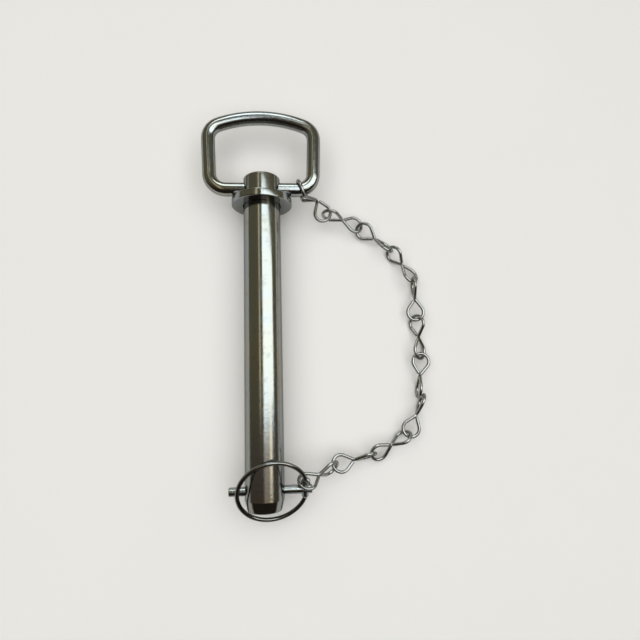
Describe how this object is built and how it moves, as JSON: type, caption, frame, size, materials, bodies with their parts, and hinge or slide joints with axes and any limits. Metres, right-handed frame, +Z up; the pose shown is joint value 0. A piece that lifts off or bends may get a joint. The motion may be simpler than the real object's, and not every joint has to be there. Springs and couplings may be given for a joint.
{
  "type": "hitch pin lock",
  "caption": "Collared hitch pin with a swinging D-shaped handle, and a linch pin with a snap ring on a wire-link chain.",
  "frame": {"origin": "on the pin's axis, at the face of the collar that bears on the hitch", "axes": "-Y runs along the shank to its tip, +Y towards the handle, +Z up from the surface that the part lies on"},
  "size_m": [0.1406, 0.2475, 0.0364],
  "materials": {
    "bright_zinc": "bright zinc plate with fine lengthwise drawing lines",
    "grey_zinc": "grey zinc plate, satin",
    "chain_zinc": "zinc plated wire, slightly dull"
  },
  "bodies": {
    "pin_body": {"pin": "bright_zinc", "collar": "bright_zinc"},
    "handle_body": {"handle": "bright_zinc"},
    "linch_body": {"linch_pin": "grey_zinc"},
    "ring_body": {"snap_ring": "grey_zinc"},
    "chain_link_01_body": {"chain_link_01": "chain_zinc"},
    "chain_link_02_body": {"chain_link_02": "chain_zinc"},
    "chain_link_03_body": {"chain_link_03": "chain_zinc"},
    "chain_link_04_body": {"chain_link_04": "chain_zinc"},
    "chain_link_05_body": {"chain_link_05": "chain_zinc"},
    "chain_link_06_body": {"chain_link_06": "chain_zinc"},
    "chain_link_07_body": {"chain_link_07": "chain_zinc"},
    "chain_link_08_body": {"chain_link_08": "chain_zinc"},
    "chain_link_09_body": {"chain_link_09": "chain_zinc"},
    "chain_link_10_body": {"chain_link_10": "chain_zinc"},
    "chain_link_11_body": {"chain_link_11": "chain_zinc"}
  },
  "joints": [
    {"name": "handle_swing", "type": "hinge", "parent": "pin_body", "child": "handle_body", "pos_m": [0, 0.011, 0], "axis": [1, 0, 0], "range_deg": [-90, 90]},
    {"name": "linch_pull", "type": "slide", "parent": "pin_body", "child": "linch_body", "axis": [1, 0, 0], "range_m": [0, 0.032]},
    {"name": "ring_swing", "type": "hinge", "parent": "linch_body", "child": "ring_body", "pos_m": [0.02254, -0.16732, 0.0002], "axis": [0, 0.866, 0.5], "range_deg": [0, 111]},
    {"name": "link_01_turn", "type": "hinge", "parent": "pin_body", "child": "chain_link_01_body", "pos_m": [0.0241, 0.0106, 0], "axis": [0, 0, 1], "range_deg": [0, 1.5]},
    {"name": "link_02_turn", "type": "hinge", "parent": "chain_link_01_body", "child": "chain_link_02_body", "pos_m": [0.0391, -0.0033, -0.006], "axis": [0, 0, 1], "range_deg": [0, 6]},
    {"name": "link_03_turn", "type": "hinge", "parent": "chain_link_02_body", "child": "chain_link_03_body", "pos_m": [0.0624, -0.008, -0.013], "axis": [0, 0, 1], "range_deg": [0, 3]},
    {"name": "link_04_turn", "type": "hinge", "parent": "chain_link_03_body", "child": "chain_link_04_body", "pos_m": [0.082, -0.0233, -0.013], "axis": [0, 0, 1], "range_deg": [0, 2]},
    {"name": "link_05_turn", "type": "hinge", "parent": "chain_link_04_body", "child": "chain_link_05_body", "pos_m": [0.0963, -0.0435, -0.0125], "axis": [0, 0, 1], "range_deg": [0, 1.5]},
    {"name": "link_06_turn", "type": "hinge", "parent": "chain_link_05_body", "child": "chain_link_06_body", "pos_m": [0.0963, -0.0683, -0.013], "axis": [0, 0, 1], "range_deg": [0, 1]},
    {"name": "link_07_turn", "type": "hinge", "parent": "chain_link_06_body", "child": "chain_link_07_body", "pos_m": [0.0981, -0.0926, -0.013], "axis": [0, 0, 1], "range_deg": [0, 0.5]},
    {"name": "link_11_turn", "type": "hinge", "parent": "linch_body", "child": "chain_link_11_body", "pos_m": [0.023, -0.1629, -0.001], "axis": [0, 0, 1], "range_deg": [0, 6]},
    {"name": "link_10_turn", "type": "hinge", "parent": "chain_link_11_body", "child": "chain_link_10_body", "pos_m": [0.0409, -0.1559, -0.008], "axis": [0, 0, 1], "range_deg": [0, 4]},
    {"name": "link_09_turn", "type": "hinge", "parent": "chain_link_10_body", "child": "chain_link_09_body", "pos_m": [0.0652, -0.1518, -0.0115], "axis": [0, 0, 1], "range_deg": [0, 2.5]},
    {"name": "link_08_turn", "type": "hinge", "parent": "chain_link_09_body", "child": "chain_link_08_body", "pos_m": [0.0873, -0.1404, -0.012], "axis": [0, 0, 1], "range_deg": [0, 1.5]}
  ],
  "couplings": [
    {"joint": "ring_swing", "follows": "linch_pull", "rad_per_m": 60},
    {"joint": "link_01_turn", "follows": "linch_pull", "rad_per_m": 0.7},
    {"joint": "link_02_turn", "follows": "linch_pull", "rad_per_m": 3},
    {"joint": "link_03_turn", "follows": "linch_pull", "rad_per_m": 1.4},
    {"joint": "link_04_turn", "follows": "linch_pull", "rad_per_m": 0.8},
    {"joint": "link_05_turn", "follows": "linch_pull", "rad_per_m": 0.5},
    {"joint": "link_06_turn", "follows": "linch_pull", "rad_per_m": 0.4},
    {"joint": "link_07_turn", "follows": "linch_pull", "rad_per_m": 0.2},
    {"joint": "link_11_turn", "follows": "linch_pull", "rad_per_m": 3},
    {"joint": "link_10_turn", "follows": "linch_pull", "rad_per_m": 1.9},
    {"joint": "link_09_turn", "follows": "linch_pull", "rad_per_m": 1.1},
    {"joint": "link_08_turn", "follows": "linch_pull", "rad_per_m": 0.6}
  ]
}
